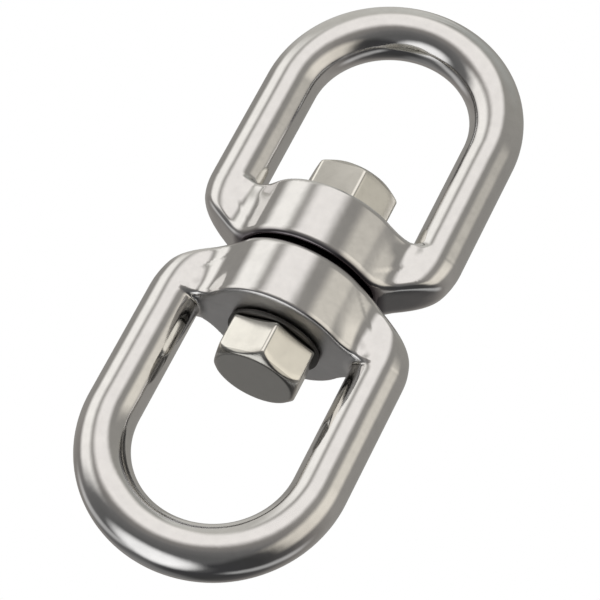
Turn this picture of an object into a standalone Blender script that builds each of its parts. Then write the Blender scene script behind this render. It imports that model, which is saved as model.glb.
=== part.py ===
"""Anchor swivel: two cast loops with round collars, turning on one hexagon bolt.

The swivel axis is Z, the plane of both loops is XZ, and the origin is the
middle of the gap between the two collars. Run it with
blender --background --python part.py, or from the text editor.
"""
from math import atan2, cos, pi, radians, sin, tan

import bmesh
import bpy
from mathutils import Matrix, Vector

MM = 0.001

# ---- driving dimensions -------------------------------------------------
# the loops, cast from round bar a little over 10 mm thick
BAR_RADIUS = 5.1 * MM
LOOP_RADIUS = 20.2 * MM          # bar centreline, at the legs and round the bow
BOW_CENTRE_Z = 36.9 * MM         # above the collar's mating face
SHOULDER_Z = 4.1 * MM            # bar centreline beside the collar, above the same face
ELBOW_RADIUS = 8.8 * MM          # bar centreline
SHOULDER_SQUARENESS = 4.4        # superellipse power beside the collar; 2 is round
SHOULDER_LIFT = 0.2 * MM         # underside of the shoulders above the mating face
SHOULDER_SLOPE = 0.58            # how fast that underside rises beyond the collar
SLOPE_START_X = 13.8 * MM
WEB_HALF_WIDTH = 4.7 * MM        # the web that fills the inside of each elbow

# the collars
COLLAR_RADIUS = 14.2 * MM
COLLAR_HEIGHT = 12.4 * MM
COLLAR_GAP = 0.8 * MM            # between the two mating faces
MATING_RIM_CHAMFER = 0.9 * MM
INNER_RIM_CHAMFER = 0.5 * MM
RECESS_RADIUS = 10.0 * MM        # seat of the thrust washer in each mating face
RECESS_DEPTH = 0.7 * MM

# the bolt, the nut and the washers
BOLT_RADIUS = 5.0 * MM
RUNNING_GAP = 0.3 * MM           # left round the bolt and between stacked faces
ACROSS_FLATS = 16.0 * MM
WASHER_RADIUS = 9.0 * MM
WASHER_THICKNESS = 0.9 * MM
HEAD_HEIGHT = 7.9 * MM
HEAD_END_RADIUS = 7.6 * MM       # flat end of the head, inside its chamfer
HEAD_CHAMFER = radians(45.0)
NUT_HEIGHT = 8.0 * MM
NUT_END_RADIUS = 7.3 * MM
NUT_CHAMFER = radians(35.0)
BOLT_STICK_OUT = 1.0 * MM        # thread showing past the nut
BOLT_END_CHAMFER = 0.8 * MM

# where a corner of each hexagon stands, about the swivel axis from +X
HEAD_TURN = radians(-20.0)
NUT_TURN = radians(-12.0)

# how finely the round shapes are cut
RING_SIDES = 20
ELBOW_STEPS = 8
BOW_STEPS = 24
TURNED_SIDES = 48

# ---- derived dimensions -------------------------------------------------
INNER_FACE_Z = COLLAR_GAP / 2 + COLLAR_HEIGHT
HEX_BASE_Z = INNER_FACE_Z + WASHER_THICKNESS + 2 * RUNNING_GAP
BORE_RADIUS = BOLT_RADIUS + RUNNING_GAP
THRUST_WASHER_RADIUS = RECESS_RADIUS - 0.4 * MM
THRUST_WASHER_THICKNESS = COLLAR_GAP + 2 * RECESS_DEPTH - 2 * RUNNING_GAP
NUT_END_Z = HEX_BASE_Z + NUT_HEIGHT
BOLT_END_Z = NUT_END_Z + BOLT_STICK_OUT
HEX_CORNER_RADIUS = ACROSS_FLATS / 2 / cos(pi / 6)
BAR_START_X = RECESS_RADIUS + 1.2 * MM


# ---- helpers ------------------------------------------------------------
def clear_scene():
    for old in list(bpy.data.objects):
        bpy.data.objects.remove(old, do_unlink=True)


def make_material(name, color, roughness, metallic=1.0):
    material = bpy.data.materials.new(name)
    material.use_nodes = True
    shader = material.node_tree.nodes["Principled BSDF"]
    shader.inputs["Base Color"].default_value = (*color, 1.0)
    shader.inputs["Roughness"].default_value = roughness
    shader.inputs["Metallic"].default_value = metallic
    return material


def add_object(name, mesh):
    obj = bpy.data.objects.new(name, mesh)
    bpy.context.scene.collection.objects.link(obj)
    return obj


def mesh_from(bm, name):
    bmesh.ops.recalc_face_normals(bm, faces=bm.faces)
    mesh = bpy.data.meshes.new(name)
    bm.to_mesh(mesh)
    bm.free()
    return mesh


def finish_piece(name, mesh, material, parent):
    """Put a finished mesh into the scene as one named piece."""
    mesh.materials.clear()
    mesh.materials.append(material)
    mesh.shade_smooth()
    mesh.set_sharp_from_angle(angle=radians(30.0))
    obj = add_object(name, mesh)
    obj.parent = parent
    return obj


def turned_mesh(name, profile, sides=TURNED_SIDES):
    """Turn a closed (radius, z) outline about Z; a point on the axis has radius 0."""
    bm = bmesh.new()
    rings = []
    for radius, z in profile:
        if radius == 0.0:
            rings.append([bm.verts.new((0.0, 0.0, z))] * sides)
            continue
        angles = [2 * pi * i / sides for i in range(sides)]
        rings.append([bm.verts.new((radius * cos(a), radius * sin(a), z)) for a in angles])
    for k, ring in enumerate(rings):
        following = rings[(k + 1) % len(rings)]
        for i in range(sides):
            j = (i + 1) % sides
            corners = [ring[i], ring[j], following[j], following[i]]
            corners = list(dict.fromkeys(corners))
            if len(corners) > 2:
                bm.faces.new(corners)
    return mesh_from(bm, name)


def combine(base_mesh, steps, name):
    """Apply Boolean steps, given as (operation, mesh), and return the new mesh."""
    base = add_object(name + "_blank", base_mesh)
    helpers = []
    for operation, mesh in steps:
        helper = add_object(name + "_tool", mesh)
        helper.hide_render = True
        helper.display_type = "WIRE"
        modifier = base.modifiers.new(operation.lower(), "BOOLEAN")
        modifier.operation = operation
        modifier.solver = "EXACT"
        modifier.object = helper
        helpers.append(helper)
    bpy.context.view_layer.update()
    evaluated = base.evaluated_get(bpy.context.evaluated_depsgraph_get())
    result = bpy.data.meshes.new_from_object(evaluated)
    result.name = name
    for obj in [base, *helpers]:
        bpy.data.objects.remove(obj, do_unlink=True)
    return result


# ---- the loops ----------------------------------------------------------
def bar_stations():
    """Centreline of one loop from the right shoulder over the bow to the left one.

    Each station is (point, outward normal, squareness) in the XZ plane, with
    z measured from the mating face.
    """
    elbow = Vector((LOOP_RADIUS - ELBOW_RADIUS, SHOULDER_Z + ELBOW_RADIUS))
    right = [(Vector((BAR_START_X, SHOULDER_Z)), Vector((0.0, -1.0)), SHOULDER_SQUARENESS)]
    first_turn = atan2(BAR_START_X + BAR_RADIUS / 2 - elbow.x, ELBOW_RADIUS)
    for k in range(ELBOW_STEPS + 1):
        share = k / ELBOW_STEPS
        turn = first_turn + (pi / 2 - first_turn) * share
        normal = Vector((sin(turn), -cos(turn)))
        squareness = SHOULDER_SQUARENESS + (2.0 - SHOULDER_SQUARENESS) * share
        right.append((elbow + normal * ELBOW_RADIUS, normal, squareness))
    bow = []
    for k in range(BOW_STEPS + 1):
        turn = pi * k / BOW_STEPS
        normal = Vector((cos(turn), sin(turn)))
        bow.append((Vector((0.0, BOW_CENTRE_Z)) + normal * LOOP_RADIUS, normal, 2.0))
    left = [(Vector((-p.x, p.y)), Vector((-n.x, n.y)), s) for p, n, s in reversed(right)]
    return right + bow + left


def signed_power(value, power):
    return abs(value) ** power * (1.0 if value >= 0.0 else -1.0)


def underside_z(x):
    """Lowest point of a shoulder at this distance from the axis."""
    return SHOULDER_LIFT + SHOULDER_SLOPE * max(abs(x) - SLOPE_START_X, 0.0)


def bar_mesh():
    """The bent bar, square beside the collar and round everywhere else."""
    bm = bmesh.new()
    rings = []
    for centre, normal, squareness in bar_stations():
        ring = []
        for i in range(RING_SIDES):
            angle = 2 * pi * (i + 0.5) / RING_SIDES
            out = BAR_RADIUS * signed_power(cos(angle), 2 / squareness)
            side = BAR_RADIUS * signed_power(sin(angle), 2 / squareness)
            point = centre + normal * out
            ring.append(bm.verts.new((point.x, side, max(point.y, underside_z(point.x)))))
        rings.append(ring)
    for ring, following in zip(rings, rings[1:]):
        for i in range(RING_SIDES):
            j = (i + 1) % RING_SIDES
            bm.faces.new((ring[i], ring[j], following[j], following[i]))
    bm.faces.new(rings[0])
    bm.faces.new(rings[-1])
    return mesh_from(bm, "bar")


def web_mesh(side):
    """Flat-topped web in the elbow on one side (+1 right, -1 left)."""
    elbow = Vector((LOOP_RADIUS - ELBOW_RADIUS, SHOULDER_Z + ELBOW_RADIUS))
    low_turn = atan2(BAR_START_X - elbow.x, ELBOW_RADIUS)
    high_turn = pi / 2 - atan2(elbow.y - COLLAR_HEIGHT, ELBOW_RADIUS)
    outline = [Vector((BAR_START_X, COLLAR_HEIGHT))]
    for k in range(ELBOW_STEPS + 1):
        turn = low_turn + (high_turn - low_turn) * k / ELBOW_STEPS
        outline.append(elbow + Vector((sin(turn), -cos(turn))) * ELBOW_RADIUS)
    outline[-1].y = COLLAR_HEIGHT
    bm = bmesh.new()
    verts = [bm.verts.new((side * p.x, -WEB_HALF_WIDTH, p.y)) for p in outline]
    face = bm.faces.new(verts)
    extruded = bmesh.ops.extrude_face_region(bm, geom=[face])
    moved = [v for v in extruded["geom"] if isinstance(v, bmesh.types.BMVert)]
    bmesh.ops.translate(bm, vec=(0.0, 2 * WEB_HALF_WIDTH, 0.0), verts=moved)
    return mesh_from(bm, "web")


def collar_mesh():
    """Turned collar with its bore and the thrust washer's recess."""
    outline = [
        (COLLAR_RADIUS, COLLAR_HEIGHT - INNER_RIM_CHAMFER),
        (COLLAR_RADIUS, MATING_RIM_CHAMFER),
        (COLLAR_RADIUS - MATING_RIM_CHAMFER, 0.0),
        (RECESS_RADIUS, 0.0),
        (RECESS_RADIUS, RECESS_DEPTH),
        (BORE_RADIUS, RECESS_DEPTH),
        (BORE_RADIUS, COLLAR_HEIGHT),
        (COLLAR_RADIUS - INNER_RIM_CHAMFER, COLLAR_HEIGHT),
    ]
    return turned_mesh("collar", outline)


def eye_mesh():
    """One cast eye, standing on its mating face at z = 0."""
    steps = [("UNION", bar_mesh()), ("UNION", web_mesh(1)), ("UNION", web_mesh(-1))]
    mesh = combine(collar_mesh(), steps, "eye")
    mesh.transform(Matrix.Translation((0.0, 0.0, COLLAR_GAP / 2)))
    return mesh


# ---- bolt, nut and washers ----------------------------------------------
def hexagon_mesh(base_z, end_z, turn):
    """Six-sided prism between two heights, with a corner at the angle `turn`."""
    bm = bmesh.new()
    angles = [turn + k * pi / 3 for k in range(6)]
    corners = [(HEX_CORNER_RADIUS * cos(a), HEX_CORNER_RADIUS * sin(a), base_z) for a in angles]
    face = bm.faces.new([bm.verts.new(corner) for corner in corners])
    extruded = bmesh.ops.extrude_face_region(bm, geom=[face])
    moved = [v for v in extruded["geom"] if isinstance(v, bmesh.types.BMVert)]
    bmesh.ops.translate(bm, verts=moved, vec=(0.0, 0.0, end_z - base_z))
    return mesh_from(bm, "hexagon")


def chamfer_envelope(base_z, end_z, end_radius, chamfer):
    """Turned body that rounds off the corners at one end of a hexagon."""
    way = 1.0 if end_z > base_z else -1.0
    wide = HEX_CORNER_RADIUS + 1.0 * MM
    shoulder_z = end_z - way * (wide - end_radius) * tan(chamfer)
    outline = [
        (0.0, base_z - way * MM),
        (wide, base_z - way * MM),
        (wide, shoulder_z),
        (end_radius, end_z),
        (0.0, end_z),
    ]
    return turned_mesh("envelope", outline)


def bolt_mesh():
    """Hexagon head below the lower collar, shank up through both eyes and the nut."""
    base_z = -HEX_BASE_Z
    end_z = base_z - HEAD_HEIGHT
    head = hexagon_mesh(base_z, end_z, HEAD_TURN)
    envelope = chamfer_envelope(base_z, end_z, HEAD_END_RADIUS, HEAD_CHAMFER)
    shank = turned_mesh("shank", [
        (0.0, base_z - HEAD_HEIGHT / 2),
        (BOLT_RADIUS, base_z - HEAD_HEIGHT / 2),
        (BOLT_RADIUS, BOLT_END_Z - BOLT_END_CHAMFER),
        (BOLT_RADIUS - BOLT_END_CHAMFER, BOLT_END_Z),
        (0.0, BOLT_END_Z),
    ])
    return combine(head, [("INTERSECT", envelope), ("UNION", shank)], "bolt")


def nut_mesh():
    """Hexagon nut in the upper eye, with its corners chamfered at the far end."""
    blank = hexagon_mesh(HEX_BASE_Z, NUT_END_Z, NUT_TURN)
    envelope = chamfer_envelope(HEX_BASE_Z, NUT_END_Z, NUT_END_RADIUS, NUT_CHAMFER)
    bore = turned_mesh("bore", [
        (0.0, HEX_BASE_Z - MM),
        (BORE_RADIUS, HEX_BASE_Z - MM),
        (BORE_RADIUS, NUT_END_Z + MM),
        (0.0, NUT_END_Z + MM),
    ])
    return combine(blank, [("INTERSECT", envelope), ("DIFFERENCE", bore)], "nut")


def washer_mesh(centre_z, radius, thickness):
    """Flat ring round the bolt."""
    low = centre_z - thickness / 2
    high = centre_z + thickness / 2
    return turned_mesh("washer", [
        (radius, high), (radius, low), (BORE_RADIUS, low), (BORE_RADIUS, high),
    ])


# ---- assembly -----------------------------------------------------------
def add_pivot(name, parent):
    """Empty on the swivel axis that carries one turning body."""
    pivot = bpy.data.objects.new(name, None)
    bpy.context.scene.collection.objects.link(pivot)
    pivot.empty_display_size = 2 * COLLAR_RADIUS
    pivot.parent = parent
    return pivot


def build():
    clear_scene()
    cast_steel = (0.78, 0.76, 0.72)
    machined_steel = (0.72, 0.71, 0.67)
    stamped_steel = (0.22, 0.215, 0.205)
    upper_pivot = add_pivot("upper_pivot", None)
    pin_pivot = add_pivot("pin_pivot", upper_pivot)
    lower_pivot = add_pivot("lower_pivot", pin_pivot)

    eye = eye_mesh()
    upper_material = make_material("upper_eye_steel", cast_steel, 0.14)
    finish_piece("upper_eye", eye.copy(), upper_material, upper_pivot)
    lower_material = make_material("lower_eye_steel", cast_steel, 0.14)
    lower_eye = finish_piece("lower_eye", eye.copy(), lower_material, lower_pivot)
    lower_eye.rotation_euler = (pi, 0.0, 0.0)

    bolt_material = make_material("bolt_steel", machined_steel, 0.3)
    finish_piece("swivel_bolt", bolt_mesh(), bolt_material, pin_pivot)
    nut_material = make_material("nut_steel", machined_steel, 0.3)
    finish_piece("hex_nut", nut_mesh(), nut_material, pin_pivot)

    stacked_z = INNER_FACE_Z + RUNNING_GAP + WASHER_THICKNESS / 2
    washers = [
        ("nut_washer", stacked_z, WASHER_RADIUS, WASHER_THICKNESS),
        ("head_washer", -stacked_z, WASHER_RADIUS, WASHER_THICKNESS),
        ("thrust_washer", 0.0, THRUST_WASHER_RADIUS, THRUST_WASHER_THICKNESS),
    ]
    for name, centre_z, radius, thickness in washers:
        material = make_material(name + "_steel", stamped_steel, 0.42)
        mesh = washer_mesh(centre_z, radius, thickness)
        finish_piece(name, mesh, material, pin_pivot)


build()
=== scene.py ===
"""Looks of the anchor swivel: polished cast eyes, bolt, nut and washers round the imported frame."""
from math import cos, pi, radians, sin, tan

import bmesh
import bpy
import numpy as np
from mathutils import Matrix, Vector


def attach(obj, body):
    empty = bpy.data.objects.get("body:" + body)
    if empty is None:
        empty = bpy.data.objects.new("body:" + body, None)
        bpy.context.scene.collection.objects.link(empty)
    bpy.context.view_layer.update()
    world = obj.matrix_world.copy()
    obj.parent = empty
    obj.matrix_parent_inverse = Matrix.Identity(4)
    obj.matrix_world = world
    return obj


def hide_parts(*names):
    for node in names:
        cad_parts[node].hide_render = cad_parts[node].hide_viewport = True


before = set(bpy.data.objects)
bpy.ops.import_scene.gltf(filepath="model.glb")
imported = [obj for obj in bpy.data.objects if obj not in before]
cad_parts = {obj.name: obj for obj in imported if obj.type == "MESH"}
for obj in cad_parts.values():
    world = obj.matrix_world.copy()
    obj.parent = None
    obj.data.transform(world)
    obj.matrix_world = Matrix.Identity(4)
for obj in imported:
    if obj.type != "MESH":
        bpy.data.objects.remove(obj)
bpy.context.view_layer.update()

MM = 0.001

# ---- dimensions in millimetres ------------------------------------------
# They are the CAD's, with two exceptions: the web is 0.1 mm thinner here on each side,
# and the roundings, the fillets and the thread are only here.
BAR_RADIUS = 5.1
LOOP_RADIUS = 20.2
BOW_CENTRE_Z = 36.9
SHOULDER_Z = 4.1
ELBOW_RADIUS = 8.8
ELBOW_X = LOOP_RADIUS - ELBOW_RADIUS
ELBOW_Z = SHOULDER_Z + ELBOW_RADIUS
SHOULDER_SQUARENESS = 4.4
WEB_HALF_WIDTH = 4.6
COLLAR_RADIUS = 14.2
COLLAR_HEIGHT = 12.4
COLLAR_GAP = 0.8
SHOULDER_LIFT = 0.2
SHOULDER_SLOPE = 0.58
SHOULDER_ROUNDING = 1.6
SLOPE_START = 13.8
MATING_RIM_ROUNDING = 1.5
INNER_RIM_ROUNDING = 1.0
COLLAR_FILLET = 4.0
WEB_FILLET = 1.2
RECESS_RADIUS = 10.0
RECESS_DEPTH = 0.7
BORE_RADIUS = 5.3

INNER_FACE_Z = COLLAR_GAP / 2 + COLLAR_HEIGHT
RUNNING_GAP = 0.3
WASHER_RADIUS = 9.0
WASHER_THICKNESS = 0.9
ACROSS_FLATS = 16.0
HEX_BASE_Z = INNER_FACE_Z + WASHER_THICKNESS + 2 * RUNNING_GAP
HEAD_HEIGHT = 7.9
HEAD_END_RADIUS = 7.6
HEAD_CHAMFER = radians(45.0)
NUT_HEIGHT = 8.0
NUT_END_RADIUS = 7.3
NUT_CHAMFER = radians(35.0)
HEX_EDGE_ROUNDING = 0.45
HEX_END_ROUNDING = 0.3
HEAD_TURN = radians(-20.0)
NUT_TURN = radians(-12.0)
BOLT_RADIUS = 5.0
THREAD_PITCH = 1.5
THREAD_DEPTH = 0.8
BOLT_STICK_OUT = 1.0

# ---- dimensions in millimetres that only the visual model has -----------
WEB_INSET = 1.5                # from the bar's centre line
WEB_ROUNDING = 0.6
BORE_ROUNDING = 0.4
RECESS_ROUNDING = 0.3
HEAD_INNER_RING = 6.0          # where the ring mesh starts under the head
HEAD_CENTRE_RING = 0.6
SHANK_TOP = 8.0
THREAD_START = 9.0
THREAD_RINGS_PER_TURN = 10
NUT_BORE_GAP = 0.12
NUT_BORE_CHAMFER = 0.7
WASHER_BORE_GAP = 0.25
WASHER_ROLLED_EDGE = 0.25
WASHER_SHARP_EDGE = 0.12
WASHER_INNER_EDGE = 0.15

# ---- meshing, in millimetres --------------------------------------------
GRID_LOW = (-27.0, -16.0, -1.5)
GRID_HIGH = (27.0, 16.0, 64.0)
GRID_CELL = 0.5
PROJECTION_STEPS = 4
GRADIENT_STEP = 0.01

# ---- finish -------------------------------------------------------------
CAST_COLOR = (0.81, 0.80, 0.79)
MACHINED_COLOR = (0.91, 0.89, 0.83)
# the washers' dark tone is partly their own and partly painted shade of the narrow gaps they sit in
DARK_WASHER_AND_SHADE_COLOR = (0.22, 0.215, 0.205)
# painted shade for the collars' rims next to the gap between them
GAP_SHADE_COLOR = (0.22, 0.20, 0.21)
SATIN_EXTRA_ROUGHNESS = 0.26   # on the collars' inner faces
CAST_MARK_DEPTH = 0.000005     # metres
TURNED_MARK_DEPTH = 0.000002   # metres
MARKS_AND_SHADE_ABOVE_HEX_BASE = 7.0     # millimetres, so that only the hexagons' end faces have the tool marks and the painted shade
MARKS_AND_SHADE_TOP = 30.0               # millimetres, past the end of the bolt


# ---- distance fields ----------------------------------------------------
def smooth_min(a, b, k):
    h = np.maximum(k - np.abs(a - b), 0.0)
    return np.minimum(a, b) - h * h / (4.0 * k)


def smooth_max(a, b, k):
    return -smooth_min(-a, -b, k)


def smooth_step(value):
    value = np.clip(value, 0.0, 1.0)
    return value * value * (3.0 - 2.0 * value)


def eye_field(p):
    """Signed distance, roughly, to a cast eye that stands on its mating face at z = 0."""
    x, y, z = np.abs(p[..., 0]), np.abs(p[..., 1]), p[..., 2]
    elbow = np.hypot(x - ELBOW_X, z - ELBOW_Z) - ELBOW_RADIUS
    lower = np.where(x > ELBOW_X, elbow, SHOULDER_Z - z)
    upper = np.where(z > BOW_CENTRE_Z, np.hypot(x, z - BOW_CENTRE_Z), x) - LOOP_RADIUS
    out = np.where(z < ELBOW_Z, lower, upper)
    turn = np.arctan2(np.maximum(x - ELBOW_X, 0.0), ELBOW_Z - z)
    turn = np.where(z < ELBOW_Z, turn, pi / 2)
    square = 2.0 + (SHOULDER_SQUARENESS - 2.0) * smooth_step(1.0 - turn / (pi / 2))
    bar = (np.abs(out) ** square + y ** square) ** (1.0 / square) - BAR_RADIUS
    web = smooth_max(y - WEB_HALF_WIDTH, out + WEB_INSET, WEB_ROUNDING)
    radial = np.hypot(x, y)
    above = z - COLLAR_HEIGHT
    casting = smooth_min(bar, web, WEB_FILLET)
    body = smooth_min(radial - COLLAR_RADIUS, casting, COLLAR_FILLET)
    body = smooth_max(body, above, INNER_RIM_ROUNDING)
    shelf = smooth_max(web, above, INNER_RIM_ROUNDING)
    # the blend is wide only inside the loop, at the collar's inner face, close to the bar
    corner = smooth_step((above + 1.2) / 0.8) * smooth_step((-out - 0.5) / 1.5)
    corner = corner * smooth_step(1.2 - bar / 1.5)
    eye = smooth_min(body, smooth_min(bar, shelf, WEB_FILLET), 0.06 + 0.6 * corner)
    beside = smooth_step((radial - COLLAR_RADIUS + 0.6) / 1.2)
    lift = SHOULDER_LIFT * beside + SHOULDER_SLOPE * smooth_max(x - SLOPE_START, 0.0, 1.2)
    rounding = MATING_RIM_ROUNDING + (SHOULDER_ROUNDING - MATING_RIM_ROUNDING) * beside
    eye = smooth_max(eye, lift - z, rounding)
    bore = np.maximum(radial - BORE_RADIUS, z - ELBOW_Z)
    eye = smooth_max(eye, -bore, BORE_ROUNDING)
    recess = np.maximum(radial - RECESS_RADIUS, z - RECESS_DEPTH)
    return smooth_max(eye, -recess, RECESS_ROUNDING)


def field_gradient(field, points):
    gradient = np.empty_like(points)
    for axis in range(3):
        shift = np.zeros(3)
        shift[axis] = GRADIENT_STEP
        change = field(points + shift) - field(points - shift)
        gradient[:, axis] = change / (2 * GRADIENT_STEP)
    return gradient


def settle(field, points):
    """Move points onto the surface and return them with the surface's normals."""
    for _ in range(PROJECTION_STEPS):
        gradient = field_gradient(field, points)
        square = np.maximum((gradient ** 2).sum(1), 0.05)
        points = points - gradient * (field(points) / square)[:, None]
    gradient = field_gradient(field, points)
    return points, gradient / np.linalg.norm(gradient, axis=1)[:, None]


def surface_net(field, low, high, cell):
    """Quads over the zero surface of a field, one vertex in each grid cell that it crosses."""
    axes = [np.arange(a, b + cell, cell) for a, b in zip(low, high)]
    grid = np.stack(np.meshgrid(*axes, indexing="ij"), -1)
    values = field(grid)
    cells = tuple(n - 1 for n in values.shape)
    total = np.zeros((*cells, 3))
    count = np.zeros(cells)
    edges = []
    for axis in range(3):
        first = np.moveaxis(np.moveaxis(values, axis, 0)[:-1], 0, axis)
        second = np.moveaxis(np.moveaxis(values, axis, 0)[1:], 0, axis)
        crossed = (first < 0.0) != (second < 0.0)
        where = np.argwhere(crossed)
        a, b = first[crossed], second[crossed]
        points = where.astype(float)
        points[:, axis] += a / (a - b)
        ring = []
        for u, v in ((-1, -1), (0, -1), (0, 0), (-1, 0)):
            offset = np.zeros(3, int)
            offset[(axis + 1) % 3] = u
            offset[(axis + 2) % 3] = v
            cell_index = tuple((where + offset).T)
            np.add.at(total, cell_index, points)
            np.add.at(count, cell_index, 1.0)
            ring.append(cell_index)
        edges.append((ring, a < 0.0))
    used = count > 0
    index = np.full(cells, -1)
    index[used] = np.arange(used.sum())
    vertices = total[used] / count[used][:, None] * cell + np.array(low)
    faces = []
    for ring, outward in edges:
        quads = np.stack([index[c] for c in ring], 1)
        quads[~outward] = quads[~outward][:, ::-1]
        faces.append(quads)
    return vertices, np.concatenate(faces)


def add_piece(name, vertices, normals, faces):
    """Mesh object from millimetre arrays, shaded with the given normals."""
    mesh = bpy.data.meshes.new(name)
    mesh.from_pydata((vertices * MM).tolist(), [], faces)
    mesh.polygons.foreach_set("use_smooth", np.ones(len(mesh.polygons), bool))
    mesh.validate()
    mesh.update()
    if normals is not None:
        mesh.normals_split_custom_set_from_vertices(normals.tolist())
    obj = bpy.data.objects.new(name, mesh)
    bpy.context.scene.collection.objects.link(obj)
    return obj


# ---- the two eyes -------------------------------------------------------
def make_eyes():
    """The upper eye, and the same casting turned half a turn about X for the lower one."""
    vertices, faces = surface_net(eye_field, GRID_LOW, GRID_HIGH, GRID_CELL)
    vertices, normals = settle(eye_field, vertices)
    vertices = vertices + np.array((0.0, 0.0, COLLAR_GAP / 2))
    flip = np.array((1.0, -1.0, -1.0))
    upper = add_piece("upper_eye_cast", vertices, normals, faces.tolist())
    lower = add_piece("lower_eye_cast", vertices * flip, normals * flip, faces.tolist())
    return upper, lower


# ---- the bolt and the nut -----------------------------------------------
SECTOR = [0, 1, 2, 3.5, 6, 10, 16, 23, 30, 37, 44, 50, 54, 56.5, 58, 59]
HEX_ANGLES = np.radians([60 * k + a for k in range(6) for a in SECTOR])


def hexagon_field(turn, base_z, end_z, end_radius, chamfer):
    """Field of a hexagon, chamfered at its far end, with slightly broken edges."""
    way = 1.0 if end_z > base_z else -1.0

    def field(p):
        x, y, z = p[..., 0], p[..., 1], p[..., 2]
        flats = None
        for k in range(6):
            a = turn + pi / 6 + k * pi / 3
            flat = x * cos(a) + y * sin(a) - ACROSS_FLATS / 2
            flats = flat if flats is None else smooth_max(flats, flat, HEX_EDGE_ROUNDING)
        cone = (np.hypot(x, y) - end_radius) * sin(chamfer) + (z - end_z) * way * cos(chamfer)
        end = smooth_max(cone, (z - end_z) * way, HEX_END_ROUNDING)
        solid = smooth_max(flats, end, HEX_END_ROUNDING)
        return smooth_max(solid, (base_z - z) * way, HEX_END_ROUNDING)

    return field


def hexagon_rows(turn, base_z, end_z, end_radius, chamfer, inner_base, inner_end):
    """Rings of points from the base's inner edge, up the flats, to the end's inner edge."""
    way = 1.0 if end_z > base_z else -1.0
    height = abs(end_z - base_z)
    angles = HEX_ANGLES + turn
    wide = ACROSS_FLATS / 2 / np.cos((HEX_ANGLES % (pi / 3)) - pi / 6)
    direction = np.stack([np.cos(angles), np.sin(angles)], 1)
    drop = np.maximum(wide - end_radius, 0.0) * tan(chamfer)
    rows = []

    def add(radius, depth):
        radius = np.broadcast_to(radius, wide.shape)
        depth = np.broadcast_to(depth, wide.shape)
        z = base_z + way * depth
        rows.append(np.column_stack([direction * radius[:, None], z]))

    for share in (0.0, 0.5, 0.9, 0.97):
        add(inner_base + (wide - inner_base) * share, 0.0)
    for depth in (0.06, 0.2, 0.6):
        add(wide, depth)
    for share in (0.2, 0.4, 0.6, 0.8, 0.95, 0.985):
        add(wide, 0.6 + (height - drop - 0.6) * share)
    rim = np.minimum(wide, end_radius)
    for share in (0.1, 0.5, 0.9):
        add(wide + (rim - wide) * share, height - drop * (1 - share))
    for share in (0.02, 0.08, 0.3, 0.6, 1.0):
        add(rim + (inner_end - rim) * share, height)
    return rows


def ring_faces(rows, sides, closed):
    """Quads between neighbouring rings; closed joins the last ring to the first."""
    faces = []
    pairs = rows if closed else rows - 1
    for k in range(pairs):
        first = k * sides
        second = ((k + 1) % rows) * sides
        for i in range(sides):
            j = (i + 1) % sides
            faces.append((first + i, second + i, second + j, first + j))
    return faces


def ring(radius, z, angles):
    x, y = radius * np.cos(angles), radius * np.sin(angles)
    return np.column_stack([x, y, np.full(len(angles), z)])


def turned_rows(outline, angles):
    """Plain rings (radius, z) at the given angles."""
    return [ring(radius, z, angles) for radius, z in outline]


def thread_rows(low, high, angles, radius):
    """Rings that follow a right-hand thread, running out into a chamfered end at `high`."""
    rows = []
    count = int(round((high - low) / (THREAD_PITCH / THREAD_RINGS_PER_TURN)))
    for k in range(count + 1):
        z = low + (high - low) * k / count
        phase = (z / THREAD_PITCH - angles / (2 * pi)) % 1.0
        groove = np.clip(1.35 - 2.7 * np.abs(phase - 0.5), 0.0, 1.0)
        taper = np.maximum(radius - THREAD_DEPTH - 0.1 + (high - z), 0.0)
        r = np.minimum(radius - THREAD_DEPTH * groove, taper)
        rows.append(ring(r, z, angles))
    return rows


def make_bolt():
    base_z = -HEX_BASE_Z
    end_z = base_z - HEAD_HEIGHT
    hexagon = hexagon_field(HEAD_TURN, base_z, end_z, HEAD_END_RADIUS, HEAD_CHAMFER)
    angles = HEX_ANGLES + HEAD_TURN
    head = hexagon_rows(
        HEAD_TURN, base_z, end_z, HEAD_END_RADIUS, HEAD_CHAMFER, HEAD_INNER_RING, HEAD_CENTRE_RING
    )
    points, normals = settle(hexagon, np.concatenate(head))
    count = len(head)
    top = HEX_BASE_Z + NUT_HEIGHT + BOLT_STICK_OUT
    shank = turned_rows([(BOLT_RADIUS, z) for z in (base_z, 0.0, SHANK_TOP)], angles)
    thread = thread_rows(THREAD_START, top, angles, BOLT_RADIUS)
    end = turned_rows([(2.5, top), (0.4, top)], angles)
    rows = head[::-1] + shank + thread + end
    vertices = np.concatenate(rows)
    sides = len(angles)
    vertices[:count * sides] = points.reshape(count, sides, 3)[::-1].reshape(-1, 3)
    faces = ring_faces(len(rows), sides, False)
    faces.append(tuple(range(sides)))
    last = (len(rows) - 1) * sides
    faces.append(tuple(range(last + sides - 1, last - 1, -1)))
    obj = add_piece("swivel_bolt_m10", vertices, None, faces)
    shade_by_field(obj, hexagon, count * sides)
    return obj


def shade_by_field(obj, field, count):
    """The field's own normals on the first `count` vertices, sharp creases elsewhere."""
    mesh = obj.data
    fix_winding(mesh)
    mesh.set_sharp_from_angle(angle=radians(28.0))
    coords = np.empty(len(mesh.vertices) * 3)
    mesh.vertices.foreach_get("co", coords)
    coords = coords.reshape(-1, 3)[:count] / MM
    gradient = field_gradient(field, coords)
    normals = gradient / np.linalg.norm(gradient, axis=1)[:, None]
    corner_vertex = np.empty(len(mesh.loops), int)
    mesh.loops.foreach_get("vertex_index", corner_vertex)
    corner_normal = np.empty(len(mesh.loops) * 3)
    mesh.corner_normals.foreach_get("vector", corner_normal)
    corner_normal = corner_normal.reshape(-1, 3)
    chosen = corner_vertex < count
    corner_normal[chosen] = normals[corner_vertex[chosen]]
    mesh.normals_split_custom_set(corner_normal.tolist())


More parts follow.
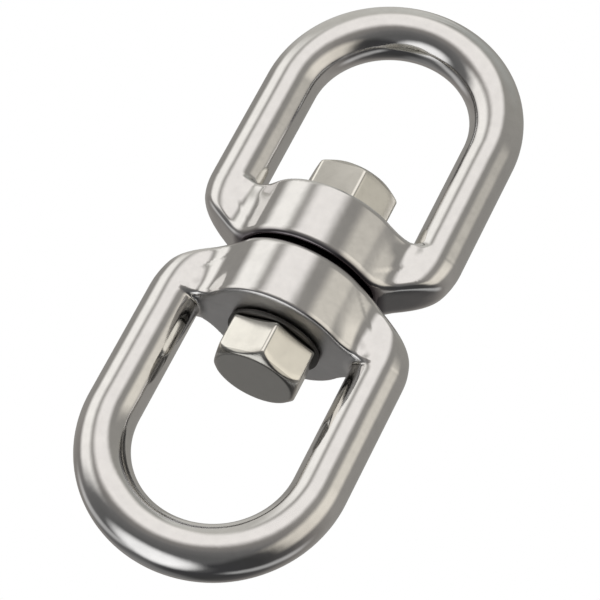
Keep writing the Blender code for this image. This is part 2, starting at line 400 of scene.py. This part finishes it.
def fix_winding(mesh):
    """Turn the faces outwards if the mesh came out inside out."""
    bm = bmesh.new()
    bm.from_mesh(mesh)
    bmesh.ops.recalc_face_normals(bm, faces=bm.faces)
    bm.to_mesh(mesh)
    bm.free()


def make_nut():
    base_z = HEX_BASE_Z
    end_z = base_z + NUT_HEIGHT
    inner = BOLT_RADIUS + NUT_BORE_GAP
    inner_ring = inner + NUT_BORE_CHAMFER
    hexagon = hexagon_field(NUT_TURN, base_z, end_z, NUT_END_RADIUS, NUT_CHAMFER)
    angles = HEX_ANGLES + NUT_TURN
    rows = hexagon_rows(
        NUT_TURN, base_z, end_z, NUT_END_RADIUS, NUT_CHAMFER, inner_ring, inner_ring
    )
    points, _ = settle(hexagon, np.concatenate(rows))
    count = len(rows)
    heights = (end_z - NUT_BORE_CHAMFER, end_z - 3.0, base_z + NUT_BORE_CHAMFER)
    bore = turned_rows([(inner, z) for z in heights], angles)
    vertices = np.concatenate([points, *bore])
    faces = ring_faces(count + len(bore), len(angles), True)
    obj = add_piece("hex_nut_m10", vertices, None, faces)
    shade_by_field(obj, hexagon, count * len(angles))
    return obj


def make_washer(name, centre_z):
    """Stamped ring: rolled edge on one face, sharper on the other."""
    low = centre_z - WASHER_THICKNESS / 2
    high = centre_z + WASHER_THICKNESS / 2
    inner = BOLT_RADIUS + WASHER_BORE_GAP
    rolled, sharp, edge = WASHER_ROLLED_EDGE, WASHER_SHARP_EDGE, WASHER_INNER_EDGE
    outline = []
    for k in range(7):
        a = pi / 2 * k / 6
        outline.append((WASHER_RADIUS - rolled + rolled * sin(a), high - rolled + rolled * cos(a)))
    for k in range(4):
        a = pi / 2 * k / 3
        outline.append((WASHER_RADIUS - sharp + sharp * cos(a), low + sharp - sharp * sin(a)))
    outline += [(inner + edge, low), (inner, low + edge)]
    outline += [(inner, high - edge), (inner + edge, high)]
    angles = np.radians(np.arange(0, 360, 3))
    rows = turned_rows(outline, angles)
    obj = add_piece(name, np.concatenate(rows), None, ring_faces(len(rows), len(angles), True))
    fix_winding(obj.data)
    obj.data.set_sharp_from_angle(angle=radians(35.0))
    return obj


# ---- materials ----------------------------------------------------------
class Nodes:
    """Small helper that adds and links shader nodes."""

    def __init__(self, tree):
        self.tree = tree

    def add(self, kind, **values):
        node = self.tree.nodes.new(kind)
        for key, value in values.items():
            if key in node.inputs:
                node.inputs[key].default_value = value
            else:
                setattr(node, key, value)
        return node

    def link(self, source, target):
        self.tree.links.new(source, target)

    def math(self, operation, *values):
        node = self.add("ShaderNodeMath", operation=operation)
        for socket, value in zip(node.inputs, values):
            if isinstance(value, (int, float)):
                socket.default_value = value
            else:
                self.link(value, socket)
        return node.outputs[0]

    def step(self, value, low, high, start=0.0, end=1.0):
        """Smooth ramp from `start` at `low` to `end` at `high`."""
        node = self.add("ShaderNodeMapRange", interpolation_type="SMOOTHSTEP")
        self.link(value, node.inputs["Value"])
        limits = {"From Min": low, "From Max": high, "To Min": start, "To Max": end}
        for name, number in limits.items():
            node.inputs[name].default_value = number
        return node.outputs["Result"]

    def darken(self, socket, weight, color):
        """Send the socket's present colour towards another one where the weight is 1."""
        mix = self.add("ShaderNodeMix", data_type="RGBA")
        self.link(weight, mix.inputs[0])
        self.link(socket.links[0].from_socket, mix.inputs[6])
        mix.inputs[7].default_value = (*color, 1.0)
        self.link(mix.outputs[2], socket)

    def lit(self, base, weight, color):
        """The base colour with a light of the given colour added where the weight is 1."""
        glow = self.add("ShaderNodeVectorMath", operation="SCALE")
        glow.inputs[0].default_value = color
        self.link(weight, glow.inputs["Scale"])
        both = self.add("ShaderNodeVectorMath", operation="ADD")
        self.link(base, both.inputs[0])
        self.link(glow.outputs[0], both.inputs[1])
        return both.outputs[0]

    def about_axis(self, where):
        """Height above or below the collars' gap, and distance from the swivel axis."""
        split = self.add("ShaderNodeSeparateXYZ")
        self.link(where, split.inputs["Vector"])
        x, y, z = split.outputs
        squares = self.math("ADD", self.math("MULTIPLY", x, x), self.math("MULTIPLY", y, y))
        return self.math("ABSOLUTE", z), self.math("SQRT", squares)


def steel(name, color, roughness, spread, wave, wave_height, grain_height):
    """Metal with patchy polish, faint waviness and fine grain.

    Returns the material, its node helper, its shader and the object coordinates.
    """
    material = bpy.data.materials.new(name)
    material.use_nodes = True
    n = Nodes(material.node_tree)
    shader = material.node_tree.nodes["Principled BSDF"]
    shader.inputs["Metallic"].default_value = 1.0
    where = n.add("ShaderNodeTexCoord").outputs["Object"]

    patch = n.add("ShaderNodeTexNoise", Scale=170.0, Detail=4.0, Roughness=0.6)
    n.link(where, patch.inputs["Vector"])
    polish = n.step(patch.outputs["Fac"], 0.3, 0.7, roughness - spread, roughness + spread)
    n.link(polish, shader.inputs["Roughness"])

    tone = n.add("ShaderNodeValToRGB")
    tone.color_ramp.elements[0].position = 0.32
    tone.color_ramp.elements[0].color = (*[c * 0.93 for c in color], 1.0)
    tone.color_ramp.elements[1].position = 0.68
    tone.color_ramp.elements[1].color = (*color, 1.0)
    stain = n.add("ShaderNodeTexNoise", Scale=420.0, Detail=5.0, Roughness=0.62)
    n.link(where, stain.inputs["Vector"])
    n.link(stain.outputs["Fac"], tone.inputs["Fac"])
    n.link(tone.outputs["Color"], shader.inputs["Base Color"])

    ripple = n.add("ShaderNodeTexNoise", Scale=wave, Detail=2.0, Roughness=0.5)
    n.link(where, ripple.inputs["Vector"])
    waviness = n.add("ShaderNodeBump", Strength=1.0, Distance=wave_height)
    n.link(ripple.outputs["Fac"], waviness.inputs["Height"])
    grain = n.add("ShaderNodeTexNoise", Scale=2600.0, Detail=3.0, Roughness=0.7)
    n.link(where, grain.inputs["Vector"])
    fine = n.add("ShaderNodeBump", Strength=1.0, Distance=grain_height)
    n.link(grain.outputs["Fac"], fine.inputs["Height"])
    n.link(waviness.outputs["Normal"], fine.inputs["Normal"])
    n.link(fine.outputs["Normal"], shader.inputs["Normal"])
    return material, n, shader, where


def turn_marks(n, where, shader, mask, depth):
    """Concentric tool marks about the swivel axis where the mask is 1."""
    rings = n.add("ShaderNodeTexWave", wave_type="RINGS", rings_direction="Z", Scale=1100.0)
    rings.inputs["Distortion"].default_value = 1.5
    rings.inputs["Detail Scale"].default_value = 900.0
    n.link(where, rings.inputs["Vector"])
    groove = n.add("ShaderNodeBump", Distance=depth)
    n.link(mask, groove.inputs["Strength"])
    n.link(rings.outputs["Fac"], groove.inputs["Height"])
    normal = shader.inputs["Normal"].links[0].from_socket
    n.link(normal, groove.inputs["Normal"])
    n.link(groove.outputs["Normal"], shader.inputs["Normal"])


def cast_steel():
    """Polished casting, satin and turned on its inner face, with painted shade darkening the rims
    beside the gap between the collars.
    """
    material, n, shader, where = steel(
        "polished_cast_steel", CAST_COLOR, 0.10, 0.025, 260.0, 0.00003, 0.000002
    )
    height, radius = n.about_axis(where)
    on_face = n.step(height, (INNER_FACE_Z - 0.35) * MM, (INNER_FACE_Z - 0.1) * MM)
    within = n.step(radius, 15.2 * MM, 15.7 * MM, 1.0, 0.0)
    below_bow = n.step(height, (INNER_FACE_Z + 1.0) * MM, (INNER_FACE_Z + 2.0) * MM, 1.0, 0.0)
    faced = n.math("MULTIPLY", n.math("MULTIPLY", on_face, below_bow), within)
    polish = shader.inputs["Roughness"].links[0].from_socket
    extra = n.math("MULTIPLY", faced, SATIN_EXTRA_ROUGHNESS)
    n.link(n.math("ADD", polish, extra), shader.inputs["Roughness"])
    turn_marks(n, where, shader, faced, CAST_MARK_DEPTH)

    # painted shade: the colour darkens within about 1.7 mm of the gap between the collars, where the
    # rims are in shadow
    gap_shade = n.step(height, 0.7 * MM, 1.7 * MM, 1.0, 0.0)
    n.darken(shader.inputs["Base Color"], gap_shade, GAP_SHADE_COLOR)
    return material


def turned_steel_with_painted_shade(name, color, roughness, low, high):
    """Metal with tool marks and painted shade, a darker base colour, between two heights in
    millimetres.
    """
    material, n, shader, where = steel(name, color, roughness, 0.04, 300.0, 0.00001, 0.000003)
    height, _ = n.about_axis(where)
    above = n.step(height, (low - 0.1) * MM, low * MM)
    below = n.step(height, high * MM, (high + 0.1) * MM, 1.0, 0.0)
    mask = n.math("MULTIPLY", above, below)
    turn_marks(n, where, shader, mask, TURNED_MARK_DEPTH)
    # painted shade: where the tool marks are, the base colour is pulled towards a darker copy,
    # darkening the hexagons' end faces, the bolt's tip and the washers
    shade = [c * 0.45 for c in color]
    n.darken(shader.inputs["Base Color"], n.math("MULTIPLY", mask, 0.6), shade)
    return material


def assign(obj, material):
    obj.data.materials.clear()
    obj.data.materials.append(material)


# ---- build --------------------------------------------------------------
upper_eye, lower_eye = make_eyes()
bolt = make_bolt()
nut = make_nut()
stacked_z = INNER_FACE_Z + RUNNING_GAP + WASHER_THICKNESS / 2
head_washer = make_washer("head_washer_ring", -stacked_z)
nut_washer = make_washer("nut_washer_ring", stacked_z)

for obj, body, node, slot in (
    (upper_eye, "upper_eye", "upper_eye", "cast_steel"),
    (lower_eye, "lower_eye", "lower_eye", "cast_steel"),
    (bolt, "swivel_pin", "swivel_bolt", "bolt_steel"),
    (nut, "swivel_pin", "hex_nut", "bolt_steel"),
    (head_washer, "swivel_pin", "head_washer", "washer_steel"),
    (nut_washer, "swivel_pin", "nut_washer", "washer_steel"),
):
    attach(obj, body)
    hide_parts(node)

cast = cast_steel()
# bolt and nut: painted shade darkens the hexagons' end faces and the bolt's tip
machined = turned_steel_with_painted_shade(
    "machined_steel", MACHINED_COLOR, 0.18, HEX_BASE_Z + MARKS_AND_SHADE_ABOVE_HEX_BASE, MARKS_AND_SHADE_TOP
)
# washers: dark colour, partly their own tone and partly painted shade of the gaps under the head,
# under the nut and between the collars
washer_steel_and_shade = turned_steel_with_painted_shade("washer_steel_and_painted_shade", DARK_WASHER_AND_SHADE_COLOR, 0.42, 0.0, 14.0)
assign(upper_eye, cast)
assign(lower_eye, cast)
assign(bolt, machined)
assign(nut, machined)
assign(head_washer, washer_steel_and_shade)
assign(nut_washer, washer_steel_and_shade)
assign(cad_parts["thrust_washer"], washer_steel_and_shade)


# ---- stage --------------------------------------------------------------
def make_camera():
    """Long lens; distances in millimetres."""
    azimuth, elevation, roll = radians(-14.6), radians(-25.75), radians(27.93)
    distance = 505.0
    across = Vector((cos(azimuth), -sin(azimuth), 0.0))
    ahead = Vector((sin(azimuth) * cos(elevation), cos(azimuth) * cos(elevation), -sin(elevation)))
    above = across.cross(ahead)
    right = across * cos(roll) + above * sin(roll)
    up = above * cos(roll) - across * sin(roll)
    place = -ahead * distance
    aim_right, aim_up = -0.967, -3.612
    target = right * aim_right + up * aim_up
    view = (target - place).normalized()
    side = view.cross(up).normalized()
    top = side.cross(view)
    data = bpy.data.cameras.new("camera")
    data.sensor_width = 36.0
    data.lens = 166.1
    camera = bpy.data.objects.new("camera", data)
    bpy.context.scene.collection.objects.link(camera)
    rotation = Matrix((side, top, -view)).transposed()
    camera.matrix_world = Matrix.Translation(place * MM) @ rotation.to_4x4()
    bpy.context.scene.camera = camera


def make_floor():
    mesh = bpy.data.meshes.new("floor")
    size = 3.0
    level = -0.3
    corners = [(-size, -size), (size, -size), (size, size), (-size, size)]
    mesh.from_pydata([(x, y, level) for x, y in corners], [], [(0, 1, 2, 3)])
    floor = bpy.data.objects.new("floor", mesh)
    bpy.context.scene.collection.objects.link(floor)
    material = bpy.data.materials.new("pale_floor")
    material.use_nodes = True
    shader = material.node_tree.nodes["Principled BSDF"]
    shader.inputs["Base Color"].default_value = (0.86, 0.86, 0.85, 1.0)
    shader.inputs["Roughness"].default_value = 0.9
    mesh.materials.append(material)
    floor.visible_glossy = False


# azimuth of the middle (0 is the front, -Y; 90 is +X), half width, lowest and highest
# elevation, softness, all in degrees, then strength and colour
SOFTBOXES = [
    (-68.0, 20.0, -15.0, 38.0, 10.0, 0.77, (1.0, 0.985, 0.955)),
    (-11.0, 24.0, 2.0, 60.0, 10.0, 0.69, (1.0, 0.97, 0.955)),
    (64.0, 21.0, -23.0, 28.0, 10.0, 0.58, (1.0, 0.94, 0.82)),
    (-95.0, 60.0, 37.0, 79.0, 9.0, 0.24, (1.0, 0.99, 0.94)),
    (-60.0, 100.0, -110.0, -8.0, 14.0, 0.07, (1.0, 1.0, 1.0)),
    (-166.0, 14.0, -45.0, -8.0, 9.0, 0.11, (1.0, 1.0, 1.0)),
    (126.0, 9.0, -55.0, -8.0, 8.0, 0.36, (1.0, 1.0, 1.0)),
    (-122.0, 10.0, -55.0, -8.0, 8.0, 0.34, (1.0, 1.0, 1.0)),
]
# a round light under the lower bow: azimuth, elevation, radius, softness, strength
UNDER_LIGHT = (-65.0, -73.0, 24.0, 11.0, 0.95)
# elevation in degrees and colour of the room between the softboxes
ROOM = [
    (-90.0, (0.20, 0.20, 0.20)),
    (-65.0, (0.05, 0.05, 0.053)),
    (-40.0, (0.05, 0.05, 0.050)),
    (-22.0, (0.09, 0.087, 0.086)),
    (-5.0, (0.225, 0.212, 0.200)),
    (12.0, (0.32, 0.306, 0.288)),
    (30.0, (0.30, 0.29, 0.272)),
    (55.0, (0.33, 0.32, 0.295)),
    (90.0, (0.43, 0.44, 0.42)),
]


def make_world():
    world = bpy.data.worlds.new("studio")
    bpy.context.scene.world = world
    world.use_nodes = True
    tree = world.node_tree
    tree.nodes.clear()
    n = Nodes(tree)
    split = n.add("ShaderNodeSeparateXYZ")
    direction = n.add("ShaderNodeTexCoord").outputs["Generated"]
    n.link(direction, split.inputs["Vector"])
    x, y, z = split.outputs
    elevation = n.math("MULTIPLY", n.math("ARCSINE", z), 180.0 / pi)

    ramp = n.add("ShaderNodeValToRGB")
    ramp.color_ramp.interpolation = "LINEAR"
    stops = ramp.color_ramp.elements
    while len(stops) < len(ROOM):
        stops.new(0.5)
    for stop, (angle, color) in zip(stops, ROOM):
        stop.position = (angle + 90.0) / 180.0
        stop.color = (*color, 1.0)
    share = n.math("DIVIDE", n.math("ADD", elevation, 90.0), 180.0)
    n.link(share, ramp.inputs["Fac"])
    total = ramp.outputs["Color"]

    for azimuth, half, low, high, soft, strength, color in SOFTBOXES:
        a = radians(azimuth)
        ahead = n.math("SUBTRACT", n.math("MULTIPLY", x, sin(a)), n.math("MULTIPLY", y, cos(a)))
        aside = n.math("ADD", n.math("MULTIPLY", x, cos(a)), n.math("MULTIPLY", y, sin(a)))
        angle = n.math("MULTIPLY", n.math("ABSOLUTE", n.math("ARCTAN2", aside, ahead)), 180.0 / pi)
        width = n.step(angle, half - soft, half + soft, 1.0, 0.0)
        foot = n.step(elevation, low - soft, low + soft)
        head = n.step(elevation, high - soft, high + soft, 1.0, 0.0)
        weight = n.math("MULTIPLY", n.math("MULTIPLY", width, foot), head)
        total = n.lit(total, weight, [strength * c for c in color])

    azimuth, height, radius, soft, strength = UNDER_LIGHT
    a, e = radians(azimuth), radians(height)
    toward = n.add("ShaderNodeVectorMath", operation="DOT_PRODUCT")
    n.link(direction, toward.inputs[0])
    toward.inputs[1].default_value = (sin(a) * cos(e), -cos(a) * cos(e), sin(e))
    edge = n.step(toward.outputs["Value"], cos(radians(radius + soft)), cos(radians(radius - soft)))
    total = n.lit(total, edge, [strength] * 3)

    light = n.add("ShaderNodeBackground")
    n.link(total, light.inputs["Color"])
    white = n.add("ShaderNodeBackground", Color=(1.0, 1.0, 1.0, 1.0))
    mix = n.add("ShaderNodeMixShader")
    path = n.add("ShaderNodeLightPath")
    plain = n.math("MAXIMUM", path.outputs["Is Camera Ray"], path.outputs["Is Diffuse Ray"])
    n.link(plain, mix.inputs["Fac"])
    n.link(light.outputs["Background"], mix.inputs[1])
    n.link(white.outputs["Background"], mix.inputs[2])
    out = n.add("ShaderNodeOutputWorld")
    n.link(mix.outputs["Shader"], out.inputs["Surface"])


make_camera()
make_floor()
make_world()
bpy.context.scene.view_settings.view_transform = "Standard"
